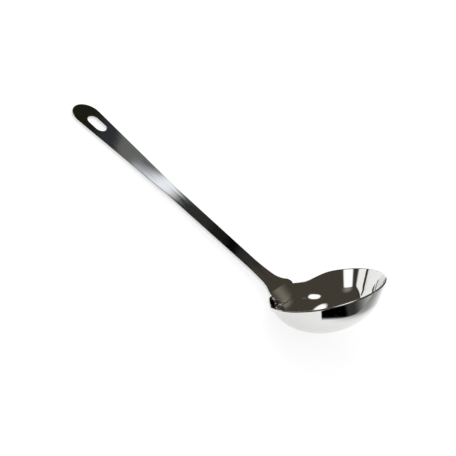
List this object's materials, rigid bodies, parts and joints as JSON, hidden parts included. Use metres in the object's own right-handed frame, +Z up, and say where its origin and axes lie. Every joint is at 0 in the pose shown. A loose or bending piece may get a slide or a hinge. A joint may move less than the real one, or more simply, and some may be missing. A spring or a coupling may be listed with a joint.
{
  "type": "soup ladle",
  "caption": "Stainless steel soup ladle: a deep round bowl with a sloping wall, and a flat tapered handle that ends in a slot to hang it by.",
  "frame": {"origin": "on the table, under the middle of the bounding box of the ladle as it lies on the back of its bowl and the tip of its handle", "axes": "+X along the ladle from the tip of the handle to the bowl, +Y across it to the left as seen from the tip, +Z up from the table"},
  "size_m": [0.2844, 0.0896, 0.0692],
  "materials": {
    "bowl_steel": "stainless steel sheet, polished almost to a mirror",
    "handle_steel": "stainless steel strip, polished, with fine marks along its length",
    "weld_steel": "fused stainless steel, hidden in the joint"
  },
  "bodies": {
    "root": {"bowl": "bowl_steel", "handle": "handle_steel", "spot_weld_1": "weld_steel", "spot_weld_2": "weld_steel", "spot_weld_3": "weld_steel"}
  },
  "joints": []
}
